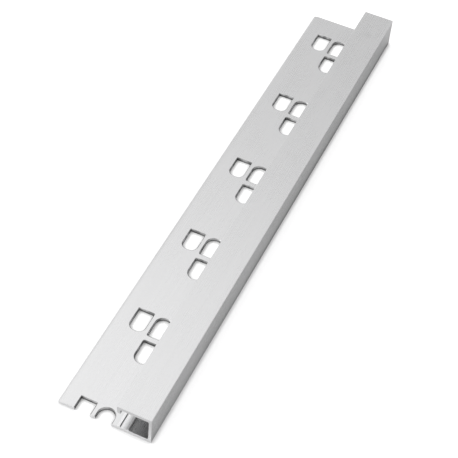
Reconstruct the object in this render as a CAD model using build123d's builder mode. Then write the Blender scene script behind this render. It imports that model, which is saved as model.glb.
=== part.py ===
"""Square-edge aluminium tile trim: one extruded length, punched along its anchoring leg.

Millimetres. +X runs from the leg's free edge to the outer wall, +Y along the length to
the far end, +Z up. The origin is on the underside, at the middle of the width and length.
"""

from build123d import *
import os

# Whole trim
length = 178.4
height = 10.0

# Square nose: the face that shows beside the tiles, and the lip that hangs from it
face_width = 9.9
face_thickness = 1.0
wall_thickness = 0.85
lip_thickness = 1.0
lip_depth = 2.6
lip_chamfer = 0.3
arris_radius = 0.2
inner_radius = 0.3

# Anchoring leg, thinned towards its free edge so that adhesive feathers over it
leg_thickness = 1.1
leg_edge_thickness = 0.8
leg_taper_width = 1.2

# Two low ribs on the floor under the face, which a corner piece slides between
rib_height = 0.5
rib_width = 0.5
rib_radius = 0.15
first_rib_inset = 0.65
rib_pitch = 2.6

# Punched groups: one square-shouldered hole beside a pair of arched holes
hole_length = 7.6
square_hole_width = 4.85
square_hole_radius = 2.1
arched_hole_width = 5.0
punch_corner_radius = 0.5

# Metal left round the holes, across the leg and along it
free_edge_to_hole = 4.8
across_web = 1.3
hole_to_face = 1.5
along_web = 1.7
group_gap = 16.25
end_margin = 8.5

# The leg is as wide as its two rows of holes and the metal beside them
leg_width = free_edge_to_hole + square_hole_width + across_web + arched_hole_width + hole_to_face
overall_width = leg_width + face_width

# Places across the section
free_edge = -overall_width / 2
outer_wall = overall_width / 2
face_edge = outer_wall - face_width
lip_inside = face_edge + lip_thickness
wall_inside = outer_wall - wall_thickness
face_underside = height - face_thickness
lip_bottom = height - lip_depth
first_rib = face_edge + first_rib_inset


def corner(sketch, x, z):
    """The corner of a section that lies nearest to a place on it."""
    return sketch.vertices().sort_by_distance((x, z))[0]


# A hole with square corners at its far end and round ones at its near end
with BuildSketch() as square_hole:
    Rectangle(square_hole_width, hole_length)
    fillet(square_hole.vertices().group_by(Axis.Y)[0], radius=square_hole_radius)

# A hole with a half-round far end; the origin is at its middle
arch_radius = arched_hole_width / 2
with BuildSketch() as arched_hole:
    with Locations((0, -hole_length / 2)):
        Rectangle(arched_hole_width, hole_length - arch_radius, align=(Align.CENTER, Align.MIN))
    fillet(arched_hole.vertices().group_by(Axis.Y)[0], radius=punch_corner_radius)
    with Locations((0, hole_length / 2 - arch_radius)):
        Circle(arch_radius)

# Each group is punched from the far end, and the last may run out of the near end
square_row = free_edge + free_edge_to_hole + square_hole_width / 2
arched_row = square_row + (square_hole_width + arched_hole_width) / 2 + across_web
first_hole = length / 2 - end_margin - hole_length / 2
near_hole_offset = hole_length + along_web
group_pitch = near_hole_offset + hole_length + group_gap
group_count = int((length - end_margin) // group_pitch) + 1
group_places = [(0, first_hole - i * group_pitch) for i in range(group_count)]

with BuildPart() as tile_trim:
    # The section, drawn on the far end and seen from the near end
    with BuildSketch(Plane.XZ.offset(-length / 2)) as section:
        with BuildLine():
            Polyline(
                (free_edge, 0),
                (outer_wall, 0),
                (outer_wall, height),
                (face_edge, height),
                (face_edge, lip_bottom),
                (lip_inside, lip_bottom),
                (lip_inside, face_underside),
                (wall_inside, face_underside),
                (wall_inside, leg_thickness),
                (free_edge + leg_taper_width, leg_thickness),
                (free_edge, leg_edge_thickness),
                close=True,
            )
        make_face()
        chamfer(corner(section, face_edge, lip_bottom), length=lip_chamfer)
        for x in (face_edge, outer_wall):
            fillet(corner(section, x, height), radius=arris_radius)
        for x, z in (
            (lip_inside, face_underside),
            (wall_inside, face_underside),
            (wall_inside, leg_thickness),
        ):
            fillet(corner(section, x, z), radius=inner_radius)
        for place in (first_rib, first_rib + rib_pitch):
            with BuildSketch(mode=Mode.PRIVATE) as rib:
                with Locations((place, leg_thickness - rib_height)):
                    Rectangle(rib_width, 2 * rib_height, align=(Align.CENTER, Align.MIN))
                fillet(rib.vertices().group_by(Axis.Y)[-1], radius=rib_radius)
            add(rib.sketch)
    extrude(amount=length)

    # The punching, down through the leg
    with BuildSketch(Plane.XY) as punching:
        with Locations(*group_places):
            with Locations((square_row, 0)):
                add(square_hole.sketch)
            with Locations((arched_row, 0)):
                add(arched_hole.sketch)
            with Locations((arched_row, -near_hole_offset)):
                add(arched_hole.sketch, rotation=180)
    extrude(amount=leg_thickness + rib_height, mode=Mode.SUBTRACT)

tile_trim.part.label = "tile_trim"

os.makedirs("parts", exist_ok=True)
export_step(tile_trim.part, "parts/tile_trim.step")
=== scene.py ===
import math

import bpy
import bmesh
from mathutils import Matrix, Vector


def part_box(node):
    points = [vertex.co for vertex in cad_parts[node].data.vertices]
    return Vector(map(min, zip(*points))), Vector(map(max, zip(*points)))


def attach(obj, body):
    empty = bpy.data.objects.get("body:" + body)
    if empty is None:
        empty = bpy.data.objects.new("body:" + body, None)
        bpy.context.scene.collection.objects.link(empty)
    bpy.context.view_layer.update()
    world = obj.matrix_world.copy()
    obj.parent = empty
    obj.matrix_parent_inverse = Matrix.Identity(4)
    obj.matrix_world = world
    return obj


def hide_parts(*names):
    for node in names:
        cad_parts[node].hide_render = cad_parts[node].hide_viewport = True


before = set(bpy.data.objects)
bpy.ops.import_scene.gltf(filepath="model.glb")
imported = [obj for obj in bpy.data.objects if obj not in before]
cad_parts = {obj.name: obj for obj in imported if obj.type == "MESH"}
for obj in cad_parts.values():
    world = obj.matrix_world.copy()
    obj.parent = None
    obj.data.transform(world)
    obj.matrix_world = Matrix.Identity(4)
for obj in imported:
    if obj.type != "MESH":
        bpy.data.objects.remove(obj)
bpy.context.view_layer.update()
trimLow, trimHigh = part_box("tile_trim")
mm = 0.001
scene = bpy.context.scene


def newMeshObject(name, bm):
    mesh = bpy.data.meshes.new(name)
    bm.to_mesh(mesh)
    bm.free()
    obj = bpy.data.objects.new(name, mesh)
    scene.collection.objects.link(obj)
    return obj


def roundedOutline(corners, steps):
    # corners are (x, y, radius); a radius of 0 keeps the corner sharp
    points = []
    count = len(corners)
    for i, (x, y, radius) in enumerate(corners):
        here = Vector((x, y))
        if radius == 0:
            points.append(here)
            continue
        toLast = (Vector(corners[i - 1][:2]) - here).normalized()
        toNext = (Vector(corners[(i + 1) % count][:2]) - here).normalized()
        half = toLast.angle(toNext) / 2
        middle = here + (toLast + toNext).normalized() * (radius / math.sin(half))
        start = here + toLast * (radius / math.tan(half)) - middle
        end = here + toNext * (radius / math.tan(half)) - middle
        sweep = start.angle_signed(end)
        for k in range(steps + 1):
            turned = start.copy()
            turned.rotate(Matrix.Rotation(-sweep * k / steps, 2))
            points.append(middle + turned)
    return points


def insetVectors(points):
    # how far each point moves so that every side of the outline moves in by one
    area = sum(a.cross(b) for a, b in zip(points, points[1:] + points[:1]))
    turn = 1 if area > 0 else -1
    vectors = []
    for i, here in enumerate(points):
        sides = (here - points[i - 1], points[(i + 1) % len(points)] - here)
        first, second = (Vector((-s.y, s.x)).normalized() * turn for s in sides)
        vectors.append((first + second) / (1 + first.dot(second)))
    return vectors


def addNode(tree, kind, settings=None, inputs=None):
    # an input is a plain value, or another node's output to link
    node = tree.nodes.new(kind)
    for key, value in (settings or {}).items():
        setattr(node, key, value)
    for key, value in (inputs or {}).items():
        if isinstance(value, bpy.types.NodeSocket):
            tree.links.new(value, node.inputs[key])
        else:
            node.inputs[key].default_value = value
    return node


def addMath(tree, operation, first, second, clamp=False):
    settings = {"operation": operation, "use_clamp": clamp}
    return addNode(tree, "ShaderNodeMath", settings, {0: first, 1: second}).outputs[0]


def addFade(tree, value, start, end, low=0.0, high=1.0):
    # goes smoothly from low, where the value is at start, to high at end
    ends = {"Value": value, "From Min": start, "From Max": end, "To Min": low, "To Max": high}
    return addNode(tree, "ShaderNodeMapRange", {"interpolation_type": "SMOOTHSTEP"}, ends).outputs[0]


# The section's sizes in mm. The width, length and height come from the CAD node's own box.
trim = {
    "faceWidth": 9.9,
    "faceThickness": 1.0,
    "wallThickness": 0.85,
    "lipThickness": 1.0,
    "lipDepth": 2.6,
    "lipChamfer": 0.3,
    "arris": 0.15,            # rounding of the two long top edges
    "softEdge": 0.1,          # rounding of the other long edges
    "footRadius": 0.08,       # rounding of the outer wall's foot
    "innerRadius": 0.3,
    "legThickness": 1.1,
    "legEdgeThickness": 0.8,
    "legTaper": 1.2,
    "ribHeight": 0.5,
    "ribWidth": 0.5,
    "ribRadius": 0.15,
    "ribFoot": 0.12,
    "firstRibInset": 0.65,
    "ribPitch": 2.6,
    "cornerSteps": 5,
    "endSoftness": 0.06,      # how far the sawn ends' edges are broken
    "creaseAngle": 32,        # edges that turn more than this stay sharp, in degrees
}

# The punched groups, in mm
punch = {
    "holeLength": 7.6,
    "squareWidth": 4.85,
    "squareRadius": 2.1,      # the square hole's two round corners
    "squareCorner": 0.15,     # and its two square ones
    "archedWidth": 5.0,
    "archShare": 0.999,       # the arch's radius in half widths, so that its two arcs don't quite meet
    "cornerRadius": 0.5,      # the arched hole's other two corners
    "edgeToHole": 4.8,
    "acrossWeb": 1.3,
    "alongWeb": 1.7,
    "groupGap": 16.25,
    "endMargin": 8.5,
    "rollOver": 0.3,          # the rounded edge where the punch went in
    "rollAngle": 78,          # how far it turns, in degrees
    "rollSteps": 4,
    "flareRise": 0.02,        # above the metal the cutter flares, to leave no sliver there
    "flareSlope": 2.5,
    "throatInset": 0.12,      # how much tighter the cut band is than the outline
    "breakOut": 0.05,         # how much wider the hole tears open underneath
    "shearShare": 0.45,       # the part of the thickness that was cut clean
    "cutterBelow": 1.0,       # how far the cutter stands out of the metal, below and above
    "cutterAbove": 2.0,
    "cutterWiden": 0.1,
    "arcSteps": 14,
}

width = (trimHigh.x - trimLow.x) / mm
length = (trimHigh.y - trimLow.y) / mm
height = (trimHigh.z - trimLow.z) / mm


def sectionOutline(t):
    left, right = -width / 2, width / 2
    face = right - t["faceWidth"]
    lipBottom = height - t["lipDepth"]
    under = height - t["faceThickness"]
    lipInside = face + t["lipThickness"]
    wallInside = right - t["wallThickness"]
    leg = t["legThickness"]
    soft, inner = t["softEdge"], t["innerRadius"]
    corners = [
        (left, 0, soft),
        (right, 0, t["footRadius"]),
        (right, height, t["arris"]),
        (face, height, t["arris"]),
        (face, lipBottom + t["lipChamfer"], soft),
        (face + t["lipChamfer"], lipBottom, soft),
        (lipInside, lipBottom, soft),
        (lipInside, under, inner),
        (wallInside, under, inner),
        (wallInside, leg, inner),
    ]
    firstRib = face + t["firstRibInset"]
    for place in (firstRib + t["ribPitch"], firstRib):
        for side in (1, -1):
            edge = place + side * t["ribWidth"] / 2
            foot, top = (edge, leg, t["ribFoot"]), (edge, leg + t["ribHeight"], t["ribRadius"])
            corners += [foot, top] if side == 1 else [top, foot]
    corners += [(left + t["legTaper"], leg, 0), (left, t["legEdgeThickness"], soft)]
    return roundedOutline(corners, t["cornerSteps"])


def holeOutline(holeWidth, near, far, p):
    # near and far are the radii of the corners at the hole's two ends
    w, h = holeWidth / 2, p["holeLength"] / 2
    return roundedOutline([(-w, -h, near), (w, -h, near), (w, h, far), (-w, h, far)], p["arcSteps"])


def addPunch(bm, outline, place, p, thickness):
    # one closed cutter: torn open below, tight above that, and rolled open at the top
    outward = [-v for v in insetVectors(outline)]
    throat = -p["throatInset"]
    torn = throat + p["breakOut"]
    levels = [(-p["cutterBelow"], torn), (0.0, torn), (thickness * (1 - p["shearShare"]), throat)]
    for k in range(p["rollSteps"]):
        angle = math.radians(p["rollAngle"]) * k / (p["rollSteps"] - 1)
        drop = p["rollOver"] * (1 - math.sin(angle))
        levels.append((thickness - drop, throat + p["rollOver"] * (1 - math.cos(angle))))
    rolledHeight, rolled = levels[-1]
    flareHeight = thickness + p["flareRise"]
    levels.append((flareHeight, rolled + (flareHeight - rolledHeight) * p["flareSlope"]))
    levels.append((thickness + p["cutterAbove"], rolled + p["cutterWiden"]))
    rings = []
    for z, grow in levels:
        ring = []
        for point, push in zip(outline, outward):
            moved = point + push * grow
            ring.append(bm.verts.new(((moved.x + place[0]) * mm, (moved.y + place[1]) * mm, z * mm)))
        rings.append(ring)
    count = len(outline)
    for lower, upper in zip(rings, rings[1:]):
        for i in range(count):
            j = (i + 1) % count
            bm.faces.new((lower[i], lower[j], upper[j], upper[i]))
    bm.faces.new(rings[0])
    bm.faces.new(rings[-1])


def buildSection(t):
    # the flat section as one face, at the near end, with the inward direction on each point
    outline = sectionOutline(t)
    bm = bmesh.new()
    inward = bm.verts.layers.float_vector.new("inward")
    verts = []
    for point, push in zip(outline, insetVectors(outline)):
        vert = bm.verts.new((point.x * mm, -length / 2 * mm, point.y * mm))
        vert[inward] = (push.x, 0, push.y)
        verts.append(vert)
    sectionFace = bm.faces.new(verts)
    sectionFace.normal_update()
    if sectionFace.normal.y < 0:
        sectionFace.normal_flip()
    return newMeshObject("trimSection", bm)


def buildPunchGroup(p, t):
    square = -width / 2 + p["edgeToHole"] + p["squareWidth"] / 2
    arched = square + (p["squareWidth"] + p["archedWidth"]) / 2 + p["acrossWeb"]
    back = -(p["holeLength"] + p["alongWeb"])
    squareHole = holeOutline(p["squareWidth"], p["squareRadius"], p["squareCorner"], p)
    archedHole = holeOutline(p["archedWidth"], p["cornerRadius"], p["archedWidth"] / 2 * p["archShare"], p)
    flippedHole = [Vector((v.x, -v.y)) for v in archedHole]
    bm = bmesh.new()
    addPunch(bm, squareHole, (square, 0), p, t["legThickness"])
    addPunch(bm, archedHole, (arched, 0), p, t["legThickness"])
    addPunch(bm, flippedHole, (arched, back), p, t["legThickness"])
    bmesh.ops.recalc_face_normals(bm, faces=list(bm.faces))
    return newMeshObject("punchGroup", bm)


def trimTree(material, creaseAngle):
    tree = bpy.data.node_groups.new("punchedTrim", "GeometryNodeTree")
    weldDistance, endTolerance = 0.001 * mm, 0.01 * mm
    sockets = tree.interface
    for name, kind in (
        ("Section", "NodeSocketGeometry"),
        ("Punch Group", "NodeSocketObject"),
        ("Length", "NodeSocketFloat"),
        ("End Softness", "NodeSocketFloat"),
        ("First Group", "NodeSocketFloat"),
        ("Group Pitch", "NodeSocketFloat"),
        ("Group Count", "NodeSocketInt"),
    ):
        sockets.new_socket(name=name, in_out="INPUT", socket_type=kind)
    sockets.new_socket(name="Trim", in_out="OUTPUT", socket_type="NodeSocketGeometry")
    given = addNode(tree, "NodeGroupInput").outputs

    # sweep: a short step, the long run, and a short step again, so the end rings can draw in
    twice = addMath(tree, "MULTIPLY", given["End Softness"], 2.0)
    run = addMath(tree, "SUBTRACT", given["Length"], twice)
    swept, top = given["Section"], True
    for distance in (given["End Softness"], run, given["End Softness"]):
        step = addNode(tree, "ShaderNodeCombineXYZ", None, {"Y": distance})
        extrude = addNode(tree, "GeometryNodeExtrudeMesh", None, {
            "Mesh": swept, "Selection": top, "Offset": step.outputs[0], "Individual": False})
        swept, top = extrude.outputs["Mesh"], extrude.outputs["Top"]
    nearEnd = addNode(tree, "GeometryNodeFlipFaces", None, {"Mesh": given["Section"]})
    closed = addNode(tree, "GeometryNodeJoinGeometry")
    tree.links.new(nearEnd.outputs[0], closed.inputs[0])
    tree.links.new(swept, closed.inputs[0])
    welded = addNode(tree, "GeometryNodeMergeByDistance", None, {
        "Geometry": closed.outputs[0], "Distance": weldDistance})

    # the rings at both ends draw in by the end softness
    half = addMath(tree, "MULTIPLY", given["Length"], 0.5)
    position = addNode(tree, "GeometryNodeInputPosition").outputs[0]
    along = addNode(tree, "ShaderNodeSeparateXYZ", None, {0: position}).outputs["Y"]
    along = addMath(tree, "ABSOLUTE", along, 0.0)
    atEnd = addNode(tree, "FunctionNodeCompare", {"operation": "GREATER_THAN"}, {
        0: along, 1: addMath(tree, "SUBTRACT", half, endTolerance)})
    inward = addNode(tree, "GeometryNodeInputNamedAttribute", {"data_type": "FLOAT_VECTOR"}, {
        "Name": "inward"})
    pull = addNode(tree, "ShaderNodeVectorMath", {"operation": "SCALE"}, {
        0: inward.outputs["Attribute"], "Scale": given["End Softness"]})
    softened = addNode(tree, "GeometryNodeSetPosition", None, {
        "Geometry": welded.outputs[0], "Selection": atEnd.outputs[0], "Offset": pull.outputs[0]})

    # cutKind tells the finish where it is: 0 as extruded, 1 punched, 2 sawn
    sawn = addNode(tree, "FunctionNodeCompare", {"operation": "GREATER_THAN"}, {
        0: along, 1: addMath(tree, "SUBTRACT", half, given["End Softness"])})
    perFace = {"data_type": "FLOAT", "domain": "FACE"}
    marked = addNode(tree, "GeometryNodeStoreNamedAttribute", perFace, {
        "Geometry": softened.outputs[0], "Name": "cutKind",
        "Value": addMath(tree, "MULTIPLY", sawn.outputs[0], 2.0)})

    # punches, one group at each pitch from the far end
    start = addNode(tree, "ShaderNodeCombineXYZ", None, {"Y": given["First Group"]})
    backwards = addMath(tree, "MULTIPLY", given["Group Pitch"], -1.0)
    pitch = addNode(tree, "ShaderNodeCombineXYZ", None, {"Y": backwards})
    places = addNode(tree, "GeometryNodeMeshLine", None, {
        "Count": given["Group Count"], "Start Location": start.outputs[0], "Offset": pitch.outputs[0]})
    tool = addNode(tree, "GeometryNodeObjectInfo", None, {"Object": given["Punch Group"]})
    placed = addNode(tree, "GeometryNodeInstanceOnPoints", None, {
        "Points": places.outputs[0], "Instance": tool.outputs["Geometry"]})
    cutters = addNode(tree, "GeometryNodeRealizeInstances", None, {"Geometry": placed.outputs[0]})
    markedCutters = addNode(tree, "GeometryNodeStoreNamedAttribute", perFace, {
        "Geometry": cutters.outputs[0], "Name": "cutKind", "Value": 1.0})
    cut = addNode(tree, "GeometryNodeMeshBoolean", {"operation": "DIFFERENCE", "solver": "EXACT"}, {
        "Mesh 1": marked.outputs[0]})
    tree.links.new(markedCutters.outputs[0], cut.inputs["Mesh 2"])

    # smooth everywhere but over sharp edges
    smooth = addNode(tree, "GeometryNodeSetShadeSmooth", {"domain": "FACE"}, {"Geometry": cut.outputs[0]})
    edgeAngle = addNode(tree, "GeometryNodeInputMeshEdgeAngle")
    sharp = addNode(tree, "FunctionNodeCompare", {"operation": "GREATER_THAN"}, {
        0: edgeAngle.outputs[0], 1: math.radians(creaseAngle)})
    creased = addNode(tree, "GeometryNodeSetShadeSmooth", {"domain": "EDGE"}, {
        "Geometry": smooth.outputs[0], "Selection": sharp.outputs[0], "Shade Smooth": False})
    real = addNode(tree, "GeometryNodeRealizeInstances", None, {"Geometry": creased.outputs[0]})
    dressed = addNode(tree, "GeometryNodeSetMaterial", None, {
        "Geometry": real.outputs[0], "Material": material})
    addNode(tree, "NodeGroupOutput", None, {"Trim": dressed.outputs[0]})
    return tree


def setInputs(modifier, values):
    for item in modifier.node_group.interface.items_tree:
        if item.in_out == "INPUT" and item.name in values:
            modifier[item.identifier] = values[item.name]


def buildTrim(material, t, p):
    section = buildSection(t)
    punchGroup = buildPunchGroup(p, t)
    first = length / 2 - p["endMargin"] - p["holeLength"] / 2
    pitch = 2 * p["holeLength"] + p["alongWeb"] + p["groupGap"]
    modifier = section.modifiers.new("punchedTrim", "NODES")
    modifier.node_group = trimTree(material, t["creaseAngle"])
    setInputs(modifier, {
        "Punch Group": punchGroup,
        "Length": length * mm,
        "End Softness": t["endSoftness"] * mm,
        "First Group": first * mm,
        "Group Pitch": pitch * mm,
        "Group Count": int((length - p["endMargin"]) // pitch) + 1,
    })
    weighted = section.modifiers.new("weightedNormals", "WEIGHTED_NORMAL")
    weighted.keep_sharp = True
    bpy.context.view_layer.update()
    graph = bpy.context.evaluated_depsgraph_get()
    made = section.evaluated_get(graph)
    mesh = bpy.data.meshes.new_from_object(made, preserve_all_data_layers=True, depsgraph=graph)
    mesh.name = "punchedTrim"
    piece = bpy.data.objects.new("punchedTrim", mesh)
    scene.collection.objects.link(piece)
    for helper in (section, punchGroup):
        bpy.data.objects.remove(helper)
    return piece


# Depths, widths and sizes in mm. Tones say how much light the metal gives back, and two
# numbers together are where something starts and where it is full, or its least and most.
finish = {
    "tone": 0.74,
    "hue": (1.0, 1.0, 1.006),
    "grazingTint": 0.5,             # the oxide layer takes light away at low angles
    "roughness": 0.28,

    "lineWidth": 0.12,              # fine lines that the die leaves along the length
    "lineLength": 30.0,
    "lineDepth": 0.0013,
    "lineTone": (0.985, 1.015),
    "lineRoughness": (-0.025, 0.025),
    "bandWidth": 1.1,               # wider, fainter bands in the same direction
    "bandLength": 120.0,
    "bandDepth": 0.004,
    "bandTone": (0.98, 1.02),
    "etchSize": 0.11,               # the matt grain under the oxide
    "etchDepth": 0.0014,
    "etchTone": (0.95, 1.05),
    "etchRoughness": (-0.02, 0.02),
    "mottleSize": 0.9,              # blotches left by the etch bath
    "mottleTone": (0.97, 1.03),
    "cloudSize": 9.0,               # and faint clouds, twice as long as they are wide
    "cloudLength": 18.0,
    "cloudTone": (0.97, 1.03),
    "cloudRoughness": (-0.05, 0.05),
    "gritSize": 0.38,               # coarser grit on the upright walls and inside the channel
    "gritTone": (0.82, 1.18),
    "wallFacing": (0.5, 0.8),

    # hairline scratches: width, length, turn, the level of noise over which one shows, and seed
    "scratches": ((0.10, 14.0, 0.16, 0.80, 1.3), (0.12, 10.0, -0.35, 0.82, 6.4)),
    "scratchFade": 0.06,
    "scratchDepth": 0.0025,
    "scratchTone": 1.06,
    "scratchPolish": 0.08,          # how much less rough a scratch is
    "markPlace": (8.7, 78.2, 10.0),  # one faint handling mark on the face
    "markSize": (2.0, 0.4),
    "markTone": 0.86,

    "edgeHighlightTone": 1.3,                # painted highlight on the long edges
    "edgeFacing": (0.95, 0.85),     # how squarely a flat and an edge face an axis
    "edgeHighlightUnevenness": (0.5, 1.5),         # the clouds make it uneven
    "edgePolish": 0.06,
    "faceShadeTone": 0.975,              # painted shade: the show face a little darker than the leg
    "insideShadeTone": 0.7,              # painted shade on the channel's inside
    "insideFade": (1.8, 3.0),       # where that starts, from the first rib
    "ribFloorLightTone": 1.22,           # painted light: the bright strip between the ribs
    "ribFloorRise": (-0.8, -0.3),   # its two sides, from the first rib
    "ribFloorFall": (2.3, 1.5),
    "ribFloorHeight": 0.65,         # and its height over the floor
    "footShadeTone": (0.88, 0.58),       # painted shade at the outer wall's foot, darker in the far half
    "footAlong": (-70.0, 10.0),
    "footHeight": 2.8,

    "sawnTone": 0.78,               # the sawn ends
    "sawArcs": (0.9, 1.08),         # the arcs that the blade leaves there
    "sawnEtch": (0.96, 1.04),
    "sawnLightFade": (1.12, 0.80),       # painted light: brighter at the leg than at the face
    "sawnFadeHeight": (1.0, 8.0),
    "sawnRoughness": (0.24, 0.42),
    "sawPitch": 0.28,
    "sawDepth": 0.007,
    "sawCentre": (-45.0, 80.0, 0.0),

    "shearToneAndShade": 0.38,              # the clean upper part of a punched wall, kept dark: partly its own dull tone, partly painted shade in the hole
    "shearSize": 0.09,
    "shearGrain": (0.9, 1.1),
    "shearRoughness": 0.34,
    "shearDepth": 0.002,
    "tornToneAndShade": 0.22,               # and the torn part below it, darker still, also partly painted shade
    "tornSize": 0.16,
    "tornGrain": (0.6, 1.4),
    "tornRoughness": 0.62,
    "tornDepth": 0.03,
    "tornEdge": (-0.03, 0.05),      # the ragged line between the two
    "raggedSize": 0.7,
    "raggedRise": (-0.175, 0.175),
    "patchSize": 2.6,               # punched walls are duller in places
    "patchEdge": (0.38, 0.62),
    "patchTone": (0.65, 1.45),
}


def satinAluminium(f, t, p):
    material = bpy.data.materials.new("satinAluminium")
    material.use_nodes = True
    tree = material.node_tree
    coordinates = addNode(tree, "ShaderNodeTexCoord").outputs["Object"]
    inMm = {0: coordinates, "Scale": 1 / mm}
    here = addNode(tree, "ShaderNodeVectorMath", {"operation": "SCALE"}, inMm).outputs[0]
    x, y, z = addNode(tree, "ShaderNodeSeparateXYZ", None, {0: here}).outputs
    cutKind = addNode(tree, "ShaderNodeAttribute", {"attribute_name": "cutKind"}).outputs["Fac"]

    def times(first, *others, clamp=False):
        for other in others:
            first = addMath(tree, "MULTIPLY", first, other, clamp)
        return first

    def plus(first, *others, clamp=False):
        for other in others:
            first = addMath(tree, "ADD", first, other, clamp)
        return first

    def over(value, limit):
        return addMath(tree, "GREATER_THAN", value, limit)

    def under(value, limit):
        return addMath(tree, "LESS_THAN", value, limit)

    def blend(share, first, second):
        # first where the share is 0, second where it is 1
        ends = {"Value": share, "To Min": first, "To Max": second}
        return addNode(tree, "ShaderNodeMapRange", None, ends).outputs[0]

    def fade(value, start, end):
        return addFade(tree, value, start, end)

    def isKind(number):
        closeness = 0.3
        inputs = {0: cutKind, 1: number, 2: closeness}
        return addNode(tree, "ShaderNodeMath", {"operation": "COMPARE"}, inputs).outputs[0]

    def grain(size, along=None, turn=0.0, detail=3.0, seed=0.0):
        # noise of this size in mm, drawn out along the trim when a length is given
        placed = addNode(tree, "ShaderNodeMapping", None, {
            "Vector": here, "Rotation": (0, 0, turn), "Scale": (1 / size, 1 / (along or size), 1 / size),
            "Location": (seed, seed, seed)})
        noise = addNode(tree, "ShaderNodeTexNoise", None, {
            "Vector": placed.outputs[0], "Scale": 1.0, "Detail": detail, "Roughness": 0.55})
        return noise.outputs["Fac"]

    etch = grain(f["etchSize"], detail=2.0)

    # where the section's parts are, with a little to spare
    spare = 0.05
    firstRib = width / 2 - t["faceWidth"] + t["firstRibInset"]
    wallInside = width / 2 - t["wallThickness"] + spare
    channelFloor = t["legThickness"] - spare
    channelTop = height - t["faceThickness"] + spare
    faceLevel = height - t["faceThickness"] + 3 * spare

    def extrudedSurface():
        # lines and bands along the length, a matt grain, faint blotches and clouds
        lines = grain(f["lineWidth"], f["lineLength"])
        bands = grain(f["bandWidth"], f["bandLength"], detail=2.0, seed=3.7)
        clouds = grain(f["cloudSize"], f["cloudLength"], detail=4.0, seed=8.1)
        mottle = grain(f["mottleSize"], detail=2.5, seed=9.6)
        hairlines = [
            fade(grain(across, along, turn=turn, detail=0.0, seed=seed), level, level + f["scratchFade"])
            for across, along, turn, level, seed in f["scratches"]]
        scratch = plus(*hairlines, clamp=True)
        reach = addNode(tree, "ShaderNodeVectorMath", {"operation": "DISTANCE"}, {
            0: here, 1: f["markPlace"]})
        mark = times(fade(reach.outputs["Value"], *f["markSize"]), clouds)
        tone = times(
            blend(lines, *f["lineTone"]), blend(bands, *f["bandTone"]), blend(clouds, *f["cloudTone"]),
            blend(mottle, *f["mottleTone"]), blend(etch, *f["etchTone"]), blend(mark, 1.0, f["markTone"]),
            blend(scratch, f["tone"], f["tone"] * f["scratchTone"]))

        # painted shade on the channel's inside, painted light on the strip between the ribs, and painted
        # shade on the face against the leg
        inFrom, inTo = (firstRib + v for v in f["insideFade"])
        inside = times(
            fade(x, inFrom, inTo), under(x, wallInside), over(z, channelFloor), under(z, channelTop))
        rise = fade(x, *(firstRib + v for v in f["ribFloorRise"]))
        fall = fade(x, *(firstRib + v for v in f["ribFloorFall"]))
        litStrip = times(rise, fall, under(z, t["legThickness"] + f["ribFloorHeight"]))
        tone = times(
            tone, blend(inside, 1.0, f["insideShadeTone"]), blend(litStrip, 1.0, f["ribFloorLightTone"]),
            blend(over(z, faceLevel), 1.0, f["faceShadeTone"]))

        # painted highlight on the long rounded edges, where the normal is square to no axis
        normal = addNode(tree, "ShaderNodeNewGeometry").outputs["Normal"]
        facing = addNode(tree, "ShaderNodeVectorMath", {"operation": "ABSOLUTE"}, {0: normal}).outputs[0]
        facingX, facingY, facingZ = addNode(tree, "ShaderNodeSeparateXYZ", None, {0: facing}).outputs
        squareOn = addMath(tree, "MAXIMUM", facingX, addMath(tree, "MAXIMUM", facingY, facingZ))
        edge = times(fade(squareOn, *f["edgeFacing"]), blend(clouds, *f["edgeHighlightUnevenness"]), clamp=True)

        # grit on the walls, and painted shade at the outer wall's foot
        upright = addMath(tree, "MAXIMUM", fade(facingX, *f["wallFacing"]), inside)
        grit = blend(grain(f["gritSize"], detail=1.0, seed=4.4), *f["gritTone"])
        foot = times(fade(z, f["footHeight"], 0.0), over(x, wallInside))
        footShadeLevel = blend(fade(y, *f["footAlong"]), *f["footShadeTone"])
        tone = times(
            tone, blend(edge, 1.0, f["edgeHighlightTone"]), blend(upright, 1.0, grit), blend(foot, 1.0, footShadeLevel))

        rough = plus(
            blend(clouds, *(f["roughness"] + v for v in f["cloudRoughness"])),
            blend(lines, *f["lineRoughness"]), blend(etch, *f["etchRoughness"]),
            times(edge, -f["edgePolish"]), times(scratch, -f["scratchPolish"]))
        relief = plus(
            times(lines, f["lineDepth"]), times(bands, f["bandDepth"]), times(etch, f["etchDepth"]),
            times(scratch, -f["scratchDepth"]))
        return tone, rough, relief

    def sawnSurface():
        # arcs of the blade, about a centre well outside the trim
        flat = addNode(tree, "ShaderNodeCombineXYZ", None, {"X": x, "Y": z})
        reach = addNode(tree, "ShaderNodeVectorMath", {"operation": "DISTANCE"}, {
            0: flat.outputs[0], 1: f["sawCentre"]}).outputs["Value"]
        arcs = addNode(tree, "ShaderNodeTexNoise", {"noise_dimensions": "1D"}, {
            "W": times(reach, 1 / f["sawPitch"]), "Scale": 1.0, "Detail": 3.0}).outputs["Fac"]
        # painted light: the sawn end brighter low down, by the leg, than up at the face
        sawnPaintedLight = addNode(tree, "ShaderNodeMapRange", None, {
            "Value": z, "From Min": f["sawnFadeHeight"][0], "From Max": f["sawnFadeHeight"][1],
            "To Min": f["sawnLightFade"][0], "To Max": f["sawnLightFade"][1]}).outputs[0]
        tone = times(blend(arcs, *f["sawArcs"]), f["sawnTone"], sawnPaintedLight, blend(etch, *f["sawnEtch"]))
        return tone, blend(arcs, *f["sawnRoughness"]), times(arcs, f["sawDepth"])

    def punchedSurface():
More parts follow.
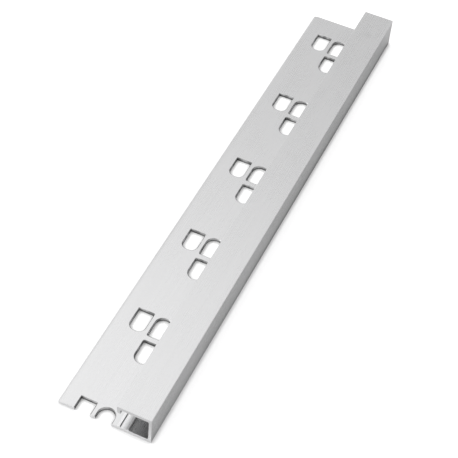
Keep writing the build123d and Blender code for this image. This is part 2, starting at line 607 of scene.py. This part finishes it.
        # sheared clean above, and torn below a ragged line
        torn = grain(f["tornSize"], detail=4.0, seed=2.2)
        shear = grain(f["shearSize"], detail=2.0, seed=4.9)
        ragged = plus(z, blend(grain(f["raggedSize"], detail=2.0, seed=5.5), *f["raggedRise"]))
        shearEdge = t["legThickness"] * (1 - p["shearShare"])
        clean = fade(ragged, *(shearEdge + v for v in f["tornEdge"]))
        patches = fade(grain(f["patchSize"], detail=1.0, seed=12.9), *f["patchEdge"])
        # the walls' darkness is partly the cut's own dull tone, partly painted shade inside the hole
        tone = blend(
            clean, times(blend(torn, *f["tornGrain"]), f["tornToneAndShade"]),
            times(blend(shear, *f["shearGrain"]), f["shearToneAndShade"]))
        tone = times(tone, blend(patches, *f["patchTone"]))
        rough = blend(clean, f["tornRoughness"], f["shearRoughness"])
        relief = blend(clean, times(torn, f["tornDepth"]), times(shear, f["shearDepth"]))
        return tone, rough, relief

    punched, sawn = isKind(1.0), isKind(2.0)
    tone, rough, relief = (
        blend(punched, blend(sawn, extruded, end), wall)
        for extruded, end, wall in zip(extrudedSurface(), sawnSurface(), punchedSurface()))
    colour = addNode(tree, "ShaderNodeVectorMath", {"operation": "SCALE"}, {0: f["hue"], "Scale": tone})
    bump = addNode(tree, "ShaderNodeBump", None, {"Height": relief, "Distance": mm, "Strength": 1.0})
    shader = tree.nodes["Principled BSDF"]
    tree.links.new(colour.outputs[0], shader.inputs["Base Color"])
    tree.links.new(rough, shader.inputs["Roughness"])
    tree.links.new(bump.outputs[0], shader.inputs["Normal"])
    shader.inputs["Metallic"].default_value = 1.0
    shader.inputs["Specular Tint"].default_value = (f["grazingTint"],) * 3 + (1,)
    return material


piece = buildTrim(satinAluminium(finish, trim, punch), trim, punch)
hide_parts("tile_trim")
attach(piece, "root")
print("trim built,", len(piece.data.polygons), "faces")


# Sky, lamp and floor, in metres unless it says mm
studio = {
    "horizon": 1.0,                 # brightness of the sky low down
    "middle": 0.69,                 # from halfway up
    "middleHeight": 0.55,
    "zenith": 1.09,                 # and overhead, in the softbox
    "softboxTowards": (-0.25, 0.0, 0.968),
    "softboxEdge": (0.755, 0.795),
    "leftShare": 0.24,              # how much brighter the left side is than the middle
    "lampPlace": (-0.8, -0.3, 0.8),
    "lampSize": 0.5,
    "lampPower": 2.2,
    "floorReach": 6.0,
    "floorDrop": 0.01,              # in mm, so that it lies just under the trim
    "floorColour": 0.85,
    "floorGlow": 0.46,              # what the floor adds of its own, so that it ends up white
    "reflectedGlow": 0.2,           # and how much of that the metal shows
    "contactReach": 1.3,            # the glow fades this near to the trim, in mm
    "contactDepth": 3.0,
    "contactSamples": 4,
}


def buildSky(s):
    world = bpy.data.worlds.new("studioSky")
    scene.world = world
    world.use_nodes = True
    tree = world.node_tree
    towards = addNode(tree, "ShaderNodeTexCoord").outputs["Generated"]
    axes = addNode(tree, "ShaderNodeSeparateXYZ", None, {0: towards}).outputs
    low = addFade(tree, axes["Z"], 0.0, s["middleHeight"], s["horizon"], s["middle"])
    toSoftbox = addNode(tree, "ShaderNodeVectorMath", {"operation": "DOT_PRODUCT"}, {
        0: towards, 1: s["softboxTowards"]}).outputs["Value"]
    softbox = addFade(tree, toSoftbox, *s["softboxEdge"], 0.0, s["zenith"] - s["middle"])
    left = addMath(tree, "ADD", addMath(tree, "MULTIPLY", axes["X"], -s["leftShare"]), 1.0)
    brightness = addMath(tree, "MULTIPLY", addMath(tree, "ADD", low, softbox), left)
    background = tree.nodes["Background"]
    background.inputs["Color"].default_value = (1, 1, 1, 1)
    tree.links.new(brightness, background.inputs["Strength"])


def buildLamp(s):
    light = bpy.data.lights.new("softLamp", "AREA")
    light.shape = "SQUARE"
    light.size = s["lampSize"]
    light.energy = s["lampPower"]
    lamp = bpy.data.objects.new("softLamp", light)
    scene.collection.objects.link(lamp)
    lamp.location = s["lampPlace"]
    lamp.rotation_euler = (-Vector(s["lampPlace"])).to_track_quat("-Z", "Y").to_euler()


def floorPaint(s):
    material = bpy.data.materials.new("floorPaint")
    material.use_nodes = True
    tree = material.node_tree
    tree.nodes.clear()
    diffuse = addNode(tree, "ShaderNodeBsdfDiffuse", None, {"Color": (s["floorColour"],) * 3 + (1,)})
    ray = addNode(tree, "ShaderNodeLightPath").outputs
    seen = addMath(tree, "MULTIPLY", ray["Is Camera Ray"], s["floorGlow"])
    reflected = addMath(tree, "MAXIMUM", ray["Is Glossy Ray"], ray["Is Transmission Ray"])
    glow = addMath(tree, "ADD", seen, addMath(tree, "MULTIPLY", reflected, s["reflectedGlow"]))
    # the glow fades where the trim stands close, so that its contact shadow stays
    nearness = addNode(tree, "ShaderNodeAmbientOcclusion", {"samples": s["contactSamples"]}, {
        "Distance": s["contactReach"] * mm})
    openness = addMath(tree, "POWER", nearness.outputs["AO"], s["contactDepth"])
    emission = addNode(tree, "ShaderNodeEmission", None, {
        "Color": (1, 1, 1, 1), "Strength": addMath(tree, "MULTIPLY", glow, openness)})
    both = addNode(tree, "ShaderNodeAddShader", None, {0: diffuse.outputs[0], 1: emission.outputs[0]})
    addNode(tree, "ShaderNodeOutputMaterial", None, {"Surface": both.outputs[0]})
    return material


def buildFloor(s):
    bm = bmesh.new()
    bmesh.ops.create_grid(bm, x_segments=1, y_segments=1, size=s["floorReach"])
    floor = newMeshObject("floor", bm)
    floor.location.z = -s["floorDrop"] * mm
    floor.data.materials.append(floorPaint(s))


buildSky(studio)
buildLamp(studio)
buildFloor(studio)
print("studio set")

view = {
    "place": (93.0, -260.3, 299.5),   # mm
    "look": (-0.2310, 0.6199, -0.7499),
    "up": (-0.3541, 0.6643, 0.6582),
    "lens": 106.08,
    "sensor": 36,
}


def buildCamera(v):
    lens = bpy.data.cameras.new("camera")
    lens.lens = v["lens"]
    lens.sensor_width = v["sensor"]
    lens.clip_start = 0.01
    camera = bpy.data.objects.new("camera", lens)
    scene.collection.objects.link(camera)
    look = Vector(v["look"]).normalized()
    side = look.cross(Vector(v["up"])).normalized()
    turn = Matrix((side, side.cross(look), -look)).transposed().to_4x4()
    camera.matrix_world = Matrix.Translation(Vector(v["place"]) * mm) @ turn
    return camera


scene.camera = buildCamera(view)
scene.view_settings.view_transform = "Standard"
print("camera set")
